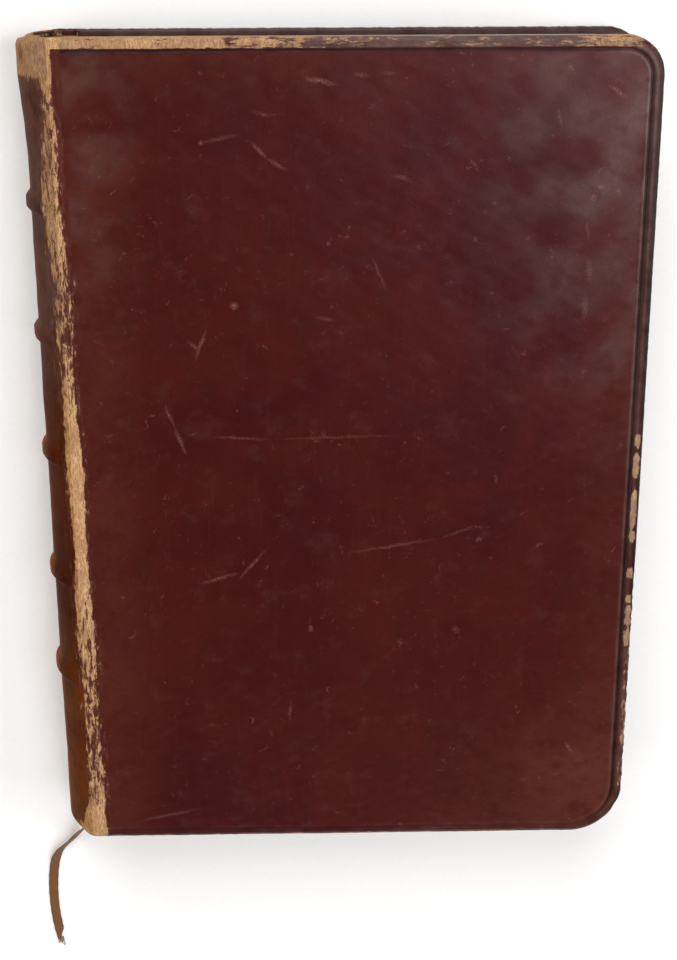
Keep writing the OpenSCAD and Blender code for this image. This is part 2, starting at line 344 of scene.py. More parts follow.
def stacked_sheet(levels, half_h, r, lines):
    """A closed body from levels of (z, x0, x1, inset): full grids below and above, edge rows between."""
    count = len(lines[0]), len(lines[1])
    border = grid_border(*count)
    points, dust, rows = [], [], []
    total = 0
    for k, (z, x0, x1, inset) in enumerate(levels):
        level, inward = sheet_level(x0, x1, half_h, r, inset, z, lines)
        if k in (0, len(levels) - 1):
            rows.append(total + border)
            faces_first = total
            dust.append(np.exp(-inward / 5) * 0.30 + (inward < 0.01) * 0.6)
        else:
            level = level[border]
            rows.append(total + np.arange(len(border)))
            dust.append(np.full(len(border), 0.9))
        points.append(level)
        total += len(level)
    points = np.concatenate(points)
    dust = np.concatenate(dust)
    faces = np.concatenate([grid_faces(*count, 0, True), strip_faces(rows, True),
                            grid_faces(*count, faces_first)])
    # The head is the dirtiest, then the tail; the fore-edge is cleaner and the spine is hidden
    head = smooth(half_h - 0.8, half_h - 0.4, points[:, 1])
    tail = smooth(half_h - 0.8, half_h - 0.4, -points[:, 1])
    dust = dust * np.clip(0.62 + 0.45 * head + 0.15 * tail, 0, 1)
    return points, faces, dust


for i in range(section_count):
    z0 = block_z + i * section_t
    lines = sheet_lines(-84.0, block_fore_x - fore_hollow, block_h / 2, block_corner_r)
    leaf = section_t / leaves_per_section
    levels = []
    for k in range(leaves_per_section):
        in_or_out = float(random.uniform(-0.06, 0.10))
        for share, groove in ((0.04, 0.10), (0.28, 0.0), (0.76, 0.0)):
            levels.append([z0 + (k + share) * leaf, 0.0, 0.0, in_or_out + groove])
    levels[0][0] = z0
    levels.append([z0 + section_t, 0.0, 0.0, 0.1])
    for level in levels:
        level[1] = spine_cx - math.sqrt(block_r ** 2 - (level[0] - spine_cz) ** 2)
        level[2] = hollow_cx - math.sqrt(hollow_r ** 2 - (level[0] - hollow_cz) ** 2)
    points, faces, dust = stacked_sheet(levels, block_h / 2, block_corner_r, lines)
    if i in (0, section_count - 1):
        # The shoulder that the outer section is bent into, for the board to sit against
        low, high = (shoulder_z, z0 + 0.2) if i == 0 else (z0 + section_t - 0.2, full_t - shoulder_z)
        lines = (np.linspace(-84.0, shoulder_x, 9), np.linspace(-block_h / 2, block_h / 2, 40))
        levels = []
        for z in np.linspace(low, high, 9):
            x0 = spine_cx - math.sqrt(block_r ** 2 - (z - spine_cz) ** 2)
            levels.append([z, x0, shoulder_x, 0.0])
        more, more_faces, more_dust = stacked_sheet(levels, block_h / 2, 0.01, lines)
        faces = np.concatenate([faces, more_faces + len(points)])
        points = np.concatenate([points, more])
        dust = np.concatenate([dust, more_dust])
    name = f"section_{i + 1:02d}"
    piece = make_piece(name + "_leaves", points, faces, [page_paper], sharp=50, dust=dust)
    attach(piece, "text_block")
    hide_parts(name)

# ---- Sewing: thread and raised cords ----
# Waxed linen thread runs in each fold and round pairs of hemp cords. The cords stand
# proud of the spine and make the five bands; their ends are laced to the boards.


def twisted(name, light, dark, strand_mm, rough):
    """Twisted plant-fibre line: matt, with strands that run round it at a slant and stray fibres."""
    made, tree, surface = new_material(name)
    place = add(tree, "TexCoord", out="Object")
    slant = add(tree, "Mapping", place, Rotation=(0.6, 0.5, 0.7))
    strands = add(tree, "TexWave", slant, Scale=every(strand_mm) / (2 * math.pi), Distortion=1.5, Detail=2.0,
                  out="Fac")
    fibres = add(tree, "TexNoise", place, Scale=every(strand_mm / 3), Detail=4, Roughness=0.7)
    stray = add(tree, "Math", fibres, 0.5, operation="MULTIPLY")
    height = add(tree, "Math", strands, stray, operation="ADD")
    colour = add(tree, "Mix", strands, dark, light)
    bleached = add(tree, "Math", fibres, 0.4, operation="MULTIPLY")
    colour = add(tree, "Mix", bleached, colour, light)
    bump = add(tree, "Bump", Height=height, Distance=0.00012, Strength=0.8)
    shader = add(tree, "BsdfPrincipled", Base_Color=colour, Roughness=rough, IOR=1.5, Specular_IOR_Level=0.3,
                 Normal=bump)
    tree.links.new(shader, surface)
    return made


def give_finish(name, material):
    """A CAD node that is shown as it is gets its material."""
    mesh = nodes[name].data
    mesh.materials.clear()
    mesh.materials.append(material)


# Hemp cord, four strands at about 1 mm, and linen thread, two plies at about 0.3 mm
hemp = twisted("hemp_cord_laid_dry", linear("#c4ab7e"), linear("#7d6642"), 1.0, 0.9)
linen = twisted("linen_thread_waxed", linear("#e3d8ba"), linear("#b8a67e"), 0.3, 0.6)
give_finish("sewing_thread", linen)
for i in range(1, 6):
    give_finish(f"raised_cord_{i}", hemp)

# ---- Spine lining ----
# Open-weave cotton glued over the folds between the bands, with brown glue in its holes.

lining_cloth, tree, surface = new_material("cotton_mull_glued")
place = add(tree, "TexCoord", out="Object")
# Threads 0.9 mm apart in both directions
warp = add(tree, "TexWave", place, Scale=every(0.9) / (2 * math.pi), bands_direction="Y", out="Fac")
weft = add(tree, "TexWave", place, Scale=every(0.9) / (2 * math.pi), bands_direction="Z", out="Fac")
weave = add(tree, "Math", warp, weft, operation="MAXIMUM")
threads = add(tree, "MapRange", weave, 0.45, 0.8)
colour = add(tree, "Mix", threads, linear("#8a6a40"), linear("#d6c8a6"))
blots = add(tree, "TexNoise", place, Scale=every(12), Detail=4, Roughness=0.55)
glued = add(tree, "Math", blots, 0.5, operation="MULTIPLY")
colour = add(tree, "Mix", glued, colour, linear("#a07c4c"))
bump = add(tree, "Bump", Height=weave, Distance=0.0001, Strength=0.7)
shader = add(tree, "BsdfPrincipled", Base_Color=colour, Roughness=0.85, IOR=1.5, Normal=bump,
             Specular_IOR_Level=0.3)
tree.links.new(shader, surface)
give_finish("spine_lining", lining_cloth)

# ---- Endbands ----
# A thin core at head and tail, wound with silk in two colours and caught down into the
# folds. It fills the end of the spine under the leather cap.

endband_r = 0.6
endband_ring_r = block_r - 0.65
wound_silk, tree, surface = new_material("silk_wound_two_colours")
place = add(tree, "Attribute", attribute_name="rest", out="Vector")
stripe = add(tree, "Attribute", attribute_name="stripe", out="Fac")
# Single turns of silk are 0.25 mm wide, and every third turn or so has frayed a little
fray = add(tree, "TexNoise", place, Scale=every(0.25), Detail=4, Roughness=0.7)
second_colour = add(tree, "MapRange", stripe, 0.45, 0.55)
colour = add(tree, "Mix", second_colour, linear("#7c2a22"), linear("#b99a5a"))
frayed = add(tree, "Math", fray, 0.5, operation="MULTIPLY")
colour = add(tree, "Mix", frayed, colour, linear("#5c4a34"))
bump = add(tree, "Bump", Height=fray, Distance=0.00005, Strength=0.5)
shader = add(tree, "BsdfPrincipled", Base_Color=colour, Roughness=0.5, IOR=1.5, Normal=bump, Sheen_Weight=0.3)
tree.links.new(shader, surface)

for name, side in (("head_endband", 1), ("tail_endband", -1)):
    low, high = box_mm(name)
    angle_end = math.asin((high[2] - spine_cz) / endband_ring_r) - 0.01
    turns = 90
    rings = turns * 4 + 1
    around = 10
    points, stripe = [], []
    for k, angle in enumerate(np.linspace(-angle_end, angle_end, rings)):
        turn = k / 4
        radius = endband_r - 0.07 + 0.07 * abs(math.sin(math.pi * turn))
        for j in range(around):
            a = 2 * math.pi * j / around
            reach = endband_ring_r + radius * math.cos(a)
            points.append([spine_cx - reach * math.cos(angle),
                           side * (block_h / 2 + endband_r + 0.05) + radius * math.sin(a),
                           spine_cz + reach * math.sin(angle)])
            stripe.append(float(int(turn / 3) % 2))
    ids = np.arange(rings * around).reshape(rings, around)
    faces = strip_faces(list(ids), True, side < 0).tolist()
    faces += [list(ids[0]), list(ids[-1][::-1])]
    faces = [[int(v) for v in f] for f in faces]
    piece = make_piece(name + "_winding", points, faces, [wound_silk], sharp=60, stripe=stripe)
    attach(piece, "text_block")
    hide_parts(name)

# ---- Boards and cord slips ----
# Boards of pressed rope fibre, 3 mm thick. The frayed cord ends lie in cut channels on
# their outer faces, pasted flat under the leather.

millboard, tree, surface = new_material("millboard_rope_fibre_pressed")
place = add(tree, "TexCoord", out="Object")
flat = add(tree, "Mapping", place, Scale=(1 / 12, 1 / 12, 1.0))
# Plies 0.5 mm thick seen at the cut edge, and fibre specks 1.2 mm across on the faces
plies = add(tree, "TexNoise", flat, Scale=every(0.5), Detail=3, Roughness=0.6)
specks = add(tree, "TexNoise", place, Scale=every(1.2), Detail=4, Roughness=0.7)
layered = add(tree, "MapRange", plies, 0.3, 0.7)
colour = add(tree, "Mix", layered, linear("#6f5d44"), linear("#968264"))
specked = add(tree, "MapRange", specks, 0.55, 0.75)
colour = add(tree, "Mix", specked, colour, linear("#57483a"))
height = add(tree, "Math", plies, specks, operation="ADD")
bump = add(tree, "Bump", Height=height, Distance=0.0001, Strength=0.6)
shader = add(tree, "BsdfPrincipled", Base_Color=colour, Roughness=0.92, IOR=1.45, Normal=bump,
             Specular_IOR_Level=0.3)
tree.links.new(shader, surface)
for name in ("front_board", "back_board"):
    give_finish(name, millboard)
for name in ("front_cord_slips", "back_cord_slips"):
    give_finish(name, hemp)

# ---- Covering leather ----
# One skin of dark red-brown calf over boards and spine, pared and turned in 14 mm, with a
# blind line close to the edges. Handling has glazed it dark, and the dyed face has worn
# off along the joint and edges down to the tan, fibrous flesh below. Shade is painted into
# the tooled lines and down the edges, and a grey sheen onto the raised lines and the head corner.

head_corner_r = 11.0
tail_corner_r = 17.0
edge_round = 1.4
strip_depth = 2.2
base_round = 0.7
# How far in from the edge lie the tooled bead, its channel and the ridge outside it, and the
# blind line along the head; and the middle and half width of the bare chips
bead_in = 4.4
channel_in = 3.5
ridge_in = 2.2
head_line_in = 3.6
chip_in = 1.7
chip_half_width = 1.0

# Scuffs on the front cover: from X, Y to X, Y, half width and strength
scuffs = [
    (-9, 114, -0.5, 112, 1.1, 1), (4.5, 115, 8, 114.5, 0.9, 0.6), (12.5, 115, 15.5, 115, 0.8, 0.5),
    (-24, 105, -18, 103.5, 0.8, 0.5), (-38, 96.5, -28, 98.5, 0.8, 0.55), (-38, 96.5, -38, 96.5, 1.1, 0.9),
    (-24, 96.5, -20, 92, 0.9, 0.85), (-20, 92, -14, 88.5, 0.8, 0.7), (15, 87, 20.5, 86, 1, 0.55),
    (-3, 68, -3, 68, 0.8, 0.8), (-30, 50, -30, 50, 1.6, 1), (9, 65, 14, 53.5, 0.6, 0.45),
    (-6, 46.5, -1, 45.5, 0.9, 0.5), (-38, 115.5, -38, 115.5, 0.9, 0.6), (63.5, 117.5, 65, 115.5, 0.8, 0.7),
    (75, 111.5, 80, 108, 0.8, 0.9), (61, 106, 62.5, 100, 0.7, 0.55), (74, 83.5, 74, 83.5, 1.2, 0.8),
    (72, 80.5, 72, 80.5, 1.2, 0.8), (70.5, 74, 71, 68.5, 0.8, 0.5), (71.5, 62.5, 72, 57, 1.6, 0.5),
    (71, 51, 71, 46, 1.4, 0.65), (39, 69, 39, 69, 0.8, 0.6), (44, 79, 44, 79, 0.8, 0.5),
    (79, 82, 79, 82, 1.8, 0.5), (-38, 43.5, -42, 33.5, 0.8, 0.7), (-43.5, 39.5, -40.5, 36.5, 0.8, 0.6),
    (-51, 20.5, -48.5, 13.5, 0.8, 0.7), (-48.5, 13.5, -45.5, 5, 0.9, 0.8),
    (-38, 10.5, -20.5, 9.5, 0.7, 0.5), (-20.5, 9.5, 19.5, 10.5, 0.65, 0.4),
    (1.5, -27, 30.5, -22.5, 0.8, 0.55), (30.5, -22.5, 42, -18, 0.7, 0.45), (42, -23, 42, -23, 1.2, 0.7),
    (-42.5, -36.5, -30.5, -33, 0.8, 0.7), (-31, -35.5, -22, -25, 0.8, 0.7), (-9, -51.5, -9, -52, 1.1, 0.9),
    (35.5, -52.5, 36, -53, 1.5, 0.5), (-15.5, -76.5, -16, -83.5, 0.8, 0.5),
    (71.5, -92.5, 73.5, -96, 0.9, 0.7), (-65.5, -119, -44, -114.5, 0.9, 0.5)]


def calf(name, deep, warm, faded, bloom, flesh_light, flesh_dark, gloss, shine, grain=1.0, strokes=()):
    """Vegetable-tanned calf, dyed and glazed by handling: low gloss, fine grain, tan and matt where worn.
    Painted shade and painted sheen come in through its fields.
    """
    made, tree, surface = new_material(name)
    place = add(tree, "Attribute", attribute_name="rest", out="Vector")
    wear, fade, grime, burnish, ends = (add(tree, "Attribute", attribute_name=field, out="Fac")
                                        for field in ("wear", "fade", "grime", "burnish", "ends"))
    # Cloudy dye 34 mm and 6 mm across; faint rubbed streaks 1.6 mm wide that run head to tail
    cloud = add(tree, "TexNoise", place, Scale=every(34), Detail=5, Roughness=0.62, Distortion=0.6)
    patch = add(tree, "TexNoise", place, Scale=every(6), Detail=5, Roughness=0.62)
    along = add(tree, "Mapping", place, Scale=(1.0, 0.07, 1.0))
    streak = add(tree, "TexNoise", along, Scale=every(1.6), Detail=3, Roughness=0.6)
    warmed = add(tree, "MapRange", cloud, 0.36, 0.64)
    clouded = add(tree, "Math", cloud, patch, operation="ADD")
    uneven = add(tree, "MapRange", clouded, 0.7, 1.3, 0.4, 1.4)
    fading = add(tree, "Math", fade, uneven, operation="MULTIPLY")
    fading = add(tree, "Clamp", fading)
    streaked = add(tree, "MapRange", streak, 0.5, 0.8, 0.0, 0.12)
    darkened = add(tree, "MapRange", patch, 0.5, 0.72, 0.0, 0.5)
    haze = add(tree, "TexNoise", place, Scale=every(9), Detail=6, Roughness=0.7)
    hazed = add(tree, "MapRange", haze, 0.52, 0.68, 0.0, 0.16)
    # Fine pores, about 0.5 mm apart
    pores = add(tree, "TexVoronoi", place, Scale=every(0.5))
    pitted = add(tree, "MapRange", pores, 0.05, 0.5, 0.25, 0.0)
    # Wear breaks up in flakes 1 mm across and 4 mm long, drawn out along the edge they lie on
    drawn = add(tree, "Mapping", place, Scale=(1.0, 0.24, 1.0))
    drawn_across = add(tree, "Mapping", place, Scale=(0.24, 1.0, 1.0))
    flakes = add(tree, "TexNoise", drawn, Scale=every(1.0), Detail=6, Roughness=0.75, Distortion=0.4)
    flakes_across = add(tree, "TexNoise", drawn_across, Scale=every(1.0), Detail=6, Roughness=0.75,
                        Distortion=0.4)
    flakes = add(tree, "Mix", ends, flakes, flakes_across, data_type="FLOAT")
    flaking = add(tree, "MapRange", wear, 0.0, 0.3, 0.5, 2.4)
    ragged = add(tree, "Math", flakes, 0.5, operation="SUBTRACT")
    ragged = add(tree, "Math", ragged, flaking, operation="MULTIPLY")
    ragged = add(tree, "Math", wear, ragged, operation="ADD")
    frayed = add(tree, "MapRange", ragged, 0.2, 0.46, 0.0, 0.8)
    bare = add(tree, "MapRange", ragged, 0.48, 0.66)
    fibre = add(tree, "TexNoise", drawn, Scale=every(0.45), Detail=5, Roughness=0.75, Distortion=0.5)
    napped = add(tree, "MapRange", fibre, 0.38, 0.62)
    flesh = add(tree, "Mix", napped, flesh_light, flesh_dark)
    stains = add(tree, "TexNoise", place, Scale=every(7), Detail=3, Roughness=0.55)
    stained = add(tree, "MapRange", stains, 0.4, 0.7, 0.0, 0.6)
    flesh = add(tree, "Mix", stained, flesh, flesh_dark)
    torn_face = add(tree, "Mix", fibre, linear("#6b4034"), linear("#3f1c14"))
    # Scuffs: the dye rubbed to a pale pink-grey, in broken scratches
    scratch = add(tree, "TexNoise", place, Scale=every(0.5), Detail=5, Roughness=0.75)
    wander = add(tree, "TexNoise", place, Scale=every(3), out="Color")
    bent = add(tree, "VectorMath", wander, (0.0011, 0.0011, 0.0), operation="MULTIPLY")
    bent = add(tree, "VectorMath", place, bent, operation="ADD")
    marks = 0.0
    for x0, y0, x1, y1, width, strength in strokes:
        middle = ((x0 + x1) / 2000 + 0.00055, (y0 + y1) / 2000 + 0.00055, full_t / 1000)
        size = (math.hypot(x1 - x0, y1 - y0) / 2000 + width / 1000, 0.9 * width / 1000, 0.004)
        slant = (0, 0, math.atan2(y1 - y0, x1 - x0))
        at = add(tree, "Mapping", bent, Location=middle, Scale=size, Rotation=slant, vector_type="TEXTURE")
        near = add(tree, "TexGradient", at, gradient_type="SPHERICAL", out="Fac")
        mark = add(tree, "Math", near, 0.85 * strength, operation="MULTIPLY")
        marks = add(tree, "Math", marks, mark, operation="MAXIMUM")
    # Between them, small pale rubs about 3 mm across and far apart
    rubs = add(tree, "TexNoise", place, Scale=every(3), Detail=5, Roughness=0.7, Distortion=1.2)
    rubs = add(tree, "MapRange", rubs, 0.6, 0.74, 0.0, 0.5)
    marks = add(tree, "Math", marks, rubs, operation="MAXIMUM")
    broken = add(tree, "MapRange", scratch, 0.4, 0.62, 0.1, 1.0)
    scuff = add(tree, "Math", marks, broken, operation="MULTIPLY")
    scuff = add(tree, "Clamp", scuff)
    # Painted grey sheen, with some rubbed polish and dusty wax, on raised lines and towards the head; black
    # dirt and painted shade in the channels and down the edges
    fine_wax_and_sheen = add(tree, "MapRange", scratch, 0.3, 0.6, 0.5, 1.0)
    broad_wax_and_sheen = add(tree, "MapRange", patch, 0.32, 0.6, 0.5, 1.1)
    wax_and_sheen = add(tree, "Math", fine_wax_and_sheen, broad_wax_and_sheen, operation="MULTIPLY")
    wax_and_sheen = add(tree, "Math", burnish, wax_and_sheen, operation="MULTIPLY")
    # The share of black dirt and painted shade, broken up by the patches
    soiled = add(tree, "MapRange", patch, 0.3, 0.7, 1.0, 0.6)
    soiled = add(tree, "Math", grime, soiled, operation="MULTIPLY")
    # The colours go over one another in this order, each by its own share
    colour = deep
    for share, tint in ((warmed, warm), (fading, faded), (streaked, faded), (darkened, deep), (hazed, bloom),
                        (pitted, linear("#1a0807")), (frayed, torn_face), (bare, flesh),
                        (scuff, linear("#8a5a50")), (wax_and_sheen, linear("#6a5b55")), (soiled, linear("#150a08"))):
        colour = add(tree, "Mix", share, colour, tint)
    # The glaze is lost where the leather is bare, and half lost in a scuff
    half_lost = add(tree, "Math", scuff, 0.5, operation="MULTIPLY")
    dull = add(tree, "Math", bare, half_lost, operation="MAXIMUM")
    rough = add(tree, "MapRange", dull, 0.0, 1.0, gloss, 0.9)
    ripple = add(tree, "Math", patch, 0.5, operation="SUBTRACT")
    ripple = add(tree, "Math", ripple, 0.16, operation="MULTIPLY")
    rough = add(tree, "Math", rough, ripple, operation="ADD")
    # Pores, a soft grain 1.8 mm across, and loose fibres where the flesh shows, a little sunk
    height = add(tree, "MapRange", pores, 0.0, 0.45, 0.0, 0.35 * grain)
    soft_grain = add(tree, "TexNoise", place, Scale=every(1.8), Detail=4, Roughness=0.6)
    soft_grain = add(tree, "Math", soft_grain, 0.8 * grain, operation="MULTIPLY")
    height = add(tree, "Math", height, soft_grain, operation="ADD")
    nap = add(tree, "Math", bare, 1.6, operation="MULTIPLY")
    nap = add(tree, "Math", fibre, nap, operation="MULTIPLY")
    height = add(tree, "Math", height, nap, operation="ADD")
    sunk = add(tree, "Math", bare, 1.2, operation="MULTIPLY")
    height = add(tree, "Math", height, sunk, operation="SUBTRACT")
    bump = add(tree, "Bump", Height=height, Distance=0.00008, Strength=0.55)
    shader = add(tree, "BsdfPrincipled", Base_Color=colour, Roughness=rough, IOR=1.48, Normal=bump,
                 Specular_IOR_Level=shine)
    tree.links.new(shader, surface)
    return made


cover_calf = calf("calf_dyed_oxblood_glazed", linear("#3a0908"), linear("#430d0a"), linear("#55251a"),
                  linear("#553530"), linear("#cfa575"), linear("#9a7050"), 0.35, 0.20, 1.0, scuffs)

# The bare band along the joint: Y, its two sides in X, and how solidly it is worn
joint_wear = np.array([
    (125, -87.5, -78.5, 1), (114, -82, -78.5, 0.86), (108, -81.5, -78.5, 0.66),
    (100, -82, -78, 0.56), (90, -83.5, -78, 0.58), (79.5, -84, -78.5, 0.7), (70.5, -83, -77.5, 0.7),
    (56.5, -82, -76.5, 0.54), (44, -82, -76.5, 0.48), (31, -81.5, -77, 0.5), (17, -81, -77, 0.88),
    (-0.5, -81, -76, 1), (-26.5, -80, -76.5, 0.94), (-40, -81, -76, 0.76), (-58, -81, -75, 0.62),
    (-69.5, -80.5, -75, 0.52), (-82.5, -80.5, -75.5, 0.5), (-103, -80, -75, 0.56),
    (-111, -80.5, -75, 0.72), (-117, -82, -75.5, 0.95), (-122, -83, -75, 1.1)])[::-1]


def joint_bare(x, y):
    """How far the joint band is worn at a place, about 1 where it is solidly bare."""
    left = np.interp(y, joint_wear[:, 0], joint_wear[:, 1])
    right = np.interp(y, joint_wear[:, 0], joint_wear[:, 2])
    solid = np.interp(y, joint_wear[:, 0], joint_wear[:, 3])
    inside = np.minimum(x - left, right - x)
    return np.maximum(solid * smooth(-0.8, 0.6, inside), 0.26 * smooth(-3.4, -0.6, inside))


# Bare chips along the fore-edge of the front cover: lowest and highest Y
fore_chips = [(6, 10), (-3.5, 4), (-20.5, -7), (-24, -21), (-36.5, -32.5), (-44.5, -41.5),
              (-48.5, -45.5), (-52, -49), (-58.5, -53)]


def waves(x, y, seed, longest, count=9):
    """A smooth uneven field of about -1 to 1, its waves from longest down to a quarter of that."""
    draw = np.random.default_rng(seed)
    total = np.zeros_like(x)
    for _ in range(count):
        length = longest * draw.uniform(0.25, 1.0)
        heading = draw.uniform(0, 2 * math.pi)
        phase = draw.uniform(0, 2 * math.pi)
        total += np.sin((x * math.cos(heading) + y * math.sin(heading)) * 2 * math.pi / length + phase)
    return total / math.sqrt(count)


def edge_rows(depth):
    """From the top of an edge over and under it: how far in from the edge and how far down each row lies."""
    rows = [(edge_round * (1 - math.sin(a)), edge_round * (1 - math.cos(a)))
            for a in np.radians([15, 30, 45, 60, 75, 90])]
    rows += [(0.0, z) for z in np.linspace(edge_round, depth - base_round, 5)[1:-1]]
    rows += [(base_round * (1 - math.cos(a)), depth - base_round + base_round * math.sin(a))
             for a in np.radians([0, 45, 90])]
    rows += [(d, depth) for d in (2.0, 4.0, 7.0, 10.0, 13.0)]
    return np.array(rows)


def cover_field(x, y, inward, turn, drop, front):
    """Wear, fading, dirt with painted shade, rubbed polish with painted sheen, and the run of the flakes on a
    cover, on its face and down its edge.
    """
    head = turn * (y > 0)
    tail = turn * (y < 0)
    fore = 1 - turn
    on_board = smooth(cover_x - 1.5, cover_x, x)
    if front:
        wear = joint_bare(x, y)
        along = np.interp(x, [-80.5, -68, -32, -30, -25, -2.5, 27.5, 57, 65, 70, 77, 88],
                          [1.0, 0.82, 0.86, 0.38, 0.72, 0.46, 0.34, 0.38, 0.36, 0.66, 0.74, 0.50])
        wear = np.maximum(wear, along * smooth(3.4, 2.8, inward) * smooth(0.45, 0.75, head))
        chips = np.zeros_like(y)
        uneven = 0.25 * waves(x, y, 7, 6)
        for low, high in fore_chips:
            middle, half = (low + high) / 2, (high - low) / 2 + 0.1
            oval = np.abs((y - middle) / half) ** 3 + np.abs((inward - chip_in) / chip_half_width) ** 3
            chips = np.maximum(chips, smooth(1.35, 0.75, oval + uneven))
        torn = smooth(-52, -62, y) * smooth(-115.5, -107.6, y) * smooth(2.6, 1.6, inward)
        chips = (0.82 * chips + (0.46 + 0.4 * uneven) * torn) * smooth(0.6, 0.3, turn)
        wear = np.maximum(wear, chips)
        on_rim = smooth(1.35, 0.7, inward) * smooth(2.4, 1.2, drop) * tail
        wear = np.maximum(wear, (0.50 + 0.2 * waves(x, y, 5, 24)) * on_rim)
        wear = np.maximum(wear, 0.22 * smooth(1.2, 0.2, inward) * fore)
        fade = 0.8 * smooth(10, 80, x) * smooth(-60, -112, y)
        fade = fade + 0.45 * smooth(-52, -72, x) + 0.35 * smooth(66, 84, x)
        fade = fade + 0.25 * smooth(96, 118, y)
        # Painted shade in the head's blind line, the fore-edge channel and down the outer edge; darker also
        # along the tail edge, the head strip and by the head of the joint
        grime = 1.0 * hump(inward, 3.7, 0.55) * head + 0.3 * smooth(4.0, 2.6, inward) * tail
        grime = grime + 0.14 * smooth(3.2, 2.6, inward) * head
        grime = grime + 0.2 * smooth(116, 120, y) * smooth(-66, -72, x)
        outer = smooth(1.5, 0.8, inward) * (1 - 0.9 * np.minimum(1.5 * chips, 1))
        channel = hump(inward, channel_in, 0.45) + 0.35 * smooth(4.0, 3.4, inward) * (1 - chips)
        grime = grime + (channel + 0.85 * outer) * fore
        # Painted sheen: grey highlights on the bead and ridge, brighter towards the head corner, on the head
        # strip and in clouds towards the upper right; the chips and the clouds by the joint are greyed too
        strip = np.where(y > 0, 1 - 0.5 * turn, fore)
        burnish = (0.8 * hump(inward, bead_in, 0.5) + 0.6 * hump(inward, ridge_in, 0.6) * (1 - chips)) * strip
        brighter = np.interp(y, [-125, -20, 60, 95, 118], [0.35, 0.5, 0.7, 1.0, 1.4])
        burnish = burnish * brighter * smooth(70, 82, x)
        burnish = burnish + 0.6 * chips * fore
        burnish = burnish + 0.5 * smooth(3.4, 2.6, inward) * head * smooth(-30, 5, x) * smooth(82, 70, x)
        cloudy = np.clip(0.5 + 0.6 * waves(x, y, 41, 26), 0, 1)
        burnish = burnish + 0.42 * smooth(30, 84, x) * smooth(-10, 100, y) * cloudy * smooth(4.0, 5.5, inward)
        burnish = burnish + 0.18 * smooth(-48, -72, x) * smooth(20, 90, y) * cloudy
        grime, burnish = grime * on_board, burnish * on_board
    else:
        inside = np.minimum(x - joint_x + 0.95, joint_x + 3.05 - x)
        wear = 0.52 * smooth(-1.0, 0.6, inside) * (0.9 + 0.18 * waves(x, y, 8, 60))
        wear = np.maximum(wear, 0.42 * smooth(2.6, 0.6, inward) * (0.9 + 0.25 * waves(x, y, 9, 45)))
        fade = 0.35 + 0.25 * waves(x, y, 12, 160)
        # At the head the turn-in, lying between the covers, gets painted shade under a dusty grey; the blind
        # line gets painted shade
        at_head = head * smooth(2.5, 3.5, drop)
        wear = wear * (1 - at_head)
        grime = 0.4 * hump(inward, 3.4, 0.4) * (drop < 1) + 0.42 * at_head
        burnish = 0.5 * at_head
    corner = smooth(0.1, 0.5, turn) * smooth(0.9, 0.5, turn)
    wear = np.maximum(wear, 0.5 * corner * smooth(2.2, 0.4, inward))
    ends = turn * smooth(9, 5, inward)
    fade, grime = np.clip(fade, 0, 1), np.clip(grime, 0, 1)
    return {"wear": wear, "fade": fade, "grime": grime, "burnish": burnish, "ends": ends}


